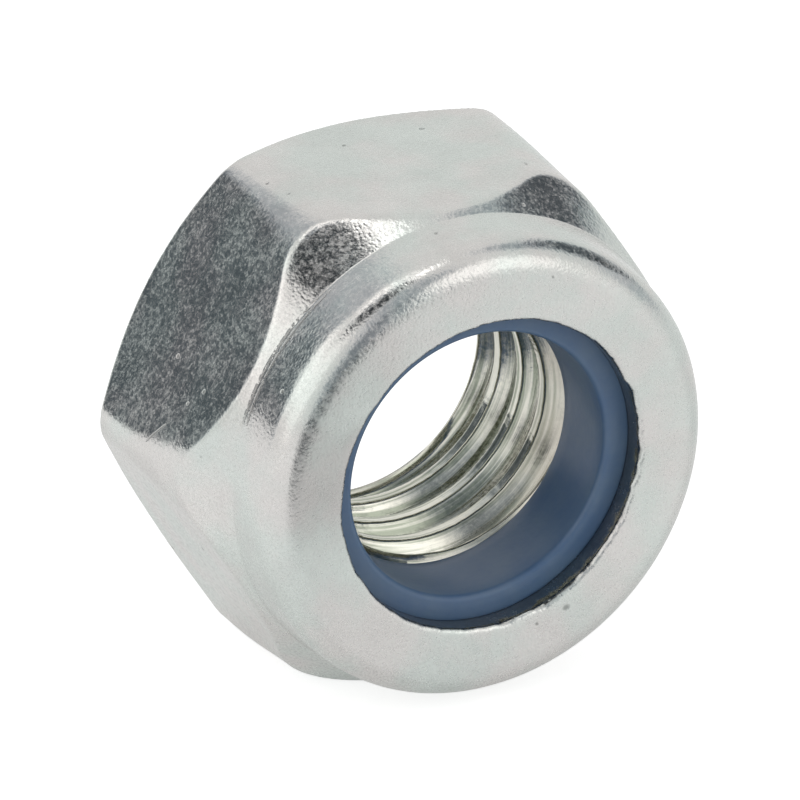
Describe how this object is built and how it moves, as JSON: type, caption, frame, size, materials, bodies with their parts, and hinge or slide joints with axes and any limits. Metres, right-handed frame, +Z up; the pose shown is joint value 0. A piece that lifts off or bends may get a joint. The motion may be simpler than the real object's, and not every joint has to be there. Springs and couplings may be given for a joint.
{
  "type": "nylon insert lock nut",
  "caption": "Hexagon lock nut, M12 x 1.75 thread, 19 mm across flats, with a round collar rolled over a blue plastic locking ring.",
  "frame": {"origin": "on the surface that the nut lies on, under the middle of the nut; the nut lies on one of its six flats", "axes": "+Z up, thread axis along Y, bearing face towards +Y, collar with the locking ring towards -Y, X across the corners"},
  "size_m": [0.0216, 0.012, 0.019],
  "materials": {
    "zinc_plated_steel": "satin bright zinc plating with fine dark speckle and small pits",
    "blue_nylon": "smooth, slightly translucent steel blue"
  },
  "bodies": {
    "root": {"nut_body": "zinc_plated_steel", "nylon_insert": "blue_nylon"}
  },
  "joints": []
}
